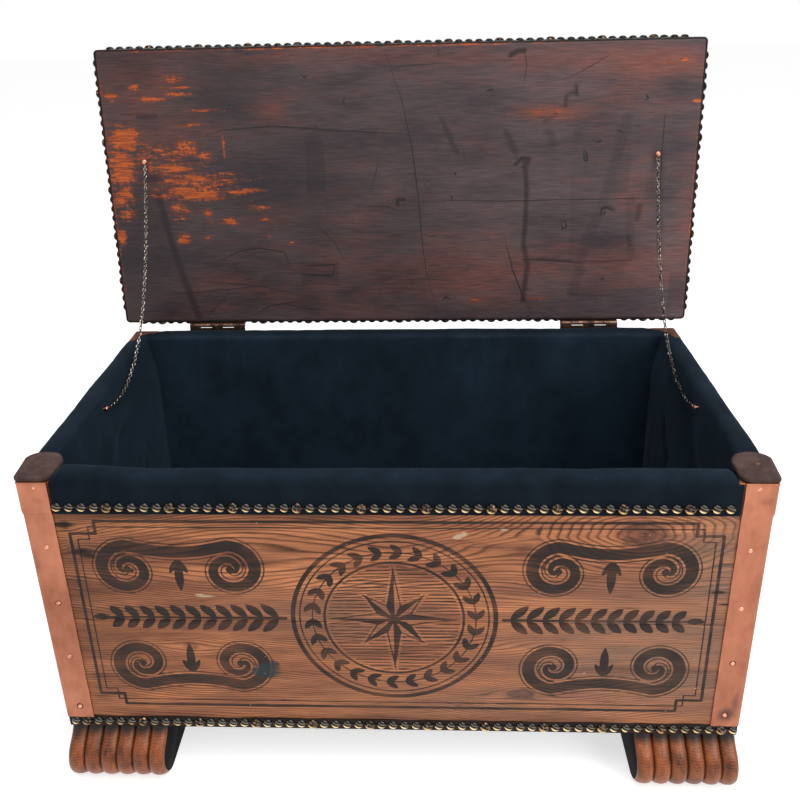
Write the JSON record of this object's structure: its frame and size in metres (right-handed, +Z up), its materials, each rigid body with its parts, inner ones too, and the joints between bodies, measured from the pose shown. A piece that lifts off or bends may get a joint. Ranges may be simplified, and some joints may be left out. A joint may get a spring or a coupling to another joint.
{
  "type": "storage chest",
  "caption": "Wooden storage chest on ribbed feet, with copper corners, a velvet lining with a padded rim and a padded hinged lid that chains hold open.",
  "frame": {"origin": "on the floor, under the middle of the chest's bounding box with the lid open", "axes": "+X to the chest's right as its front is faced, +Y from its front to its back, +Z up"},
  "size_m": [0.8248, 0.4786, 0.8211],
  "materials": {
    "pine_crate": "oiled, open grain",
    "base_dark_wood": "dark stain",
    "foot_oak": "satin varnish",
    "copper": "bright copper sheet, lightly tarnished",
    "cap_leather": "suede",
    "velvet": "cut pile",
    "wadding": "felted wadding",
    "antique_nails": "antiqued",
    "lid_pine": "worn dark stain",
    "lid_foam": "foam",
    "lid_leather": "dark grained hide",
    "hinge_bronze": "bronzed",
    "chain_brass": "antiqued",
    "copper_screw": "bright copper"
  },
  "bodies": {
    "chest": {"back_board_lower": "pine_crate", "back_board_upper": "pine_crate", "base_board": "base_dark_wood", "chain_left": "chain_brass", "chain_right": "chain_brass", "chain_screw_box_left": "copper_screw", "chain_screw_box_right": "copper_screw", "copper_corner_back_left": "copper", "copper_corner_back_right": "copper", "copper_corner_front_left": "copper", "copper_corner_front_right": "copper", "corner_cap_left": "cap_leather", "corner_cap_right": "cap_leather", "foot_back_left": "foot_oak", "foot_back_right": "foot_oak", "foot_front_left": "foot_oak", "foot_front_right": "foot_oak", "front_board_lower": "pine_crate", "front_board_upper": "pine_crate", "hinge_left_box_leaf": "hinge_bronze", "hinge_left_pin": "hinge_bronze", "hinge_right_box_leaf": "hinge_bronze", "hinge_right_pin": "hinge_bronze", "left_board_lower": "pine_crate", "left_board_upper": "pine_crate", "lining_back": "velvet", "lining_floor": "velvet", "lining_front": "velvet", "lining_left": "velvet", "lining_right": "velvet", "nail_strip_base_back": "antique_nails", "nail_strip_base_front": "antique_nails", "nail_strip_base_left": "antique_nails", "nail_strip_base_right": "antique_nails", "nail_strip_top_back": "antique_nails", "nail_strip_top_front": "antique_nails", "nail_strip_top_left": "antique_nails", "nail_strip_top_right": "antique_nails", "right_board_lower": "pine_crate", "right_board_upper": "pine_crate", "rim_wadding_back": "wadding", "rim_wadding_front": "wadding", "rim_wadding_left": "wadding", "rim_wadding_right": "wadding"},
    "lid": {"chain_screw_lid_left": "copper_screw", "chain_screw_lid_right": "copper_screw", "hinge_left_lid_leaf": "hinge_bronze", "hinge_right_lid_leaf": "hinge_bronze", "lid_board": "lid_pine", "lid_cover": "lid_leather", "lid_pad": "lid_foam", "nail_strip_lid_front": "antique_nails", "nail_strip_lid_left": "antique_nails", "nail_strip_lid_rear_left": "antique_nails", "nail_strip_lid_rear_middle": "antique_nails", "nail_strip_lid_rear_right": "antique_nails", "nail_strip_lid_right": "antique_nails"}
  },
  "joints": [
    {"name": "lid_hinge", "type": "hinge", "parent": "chest", "child": "lid", "pos_m": [0, 0.16394, 0.4244], "axis": [1, 0, 0], "range_deg": [0, 93.7], "deforming": ["chain_left", "chain_right"]}
  ]
}
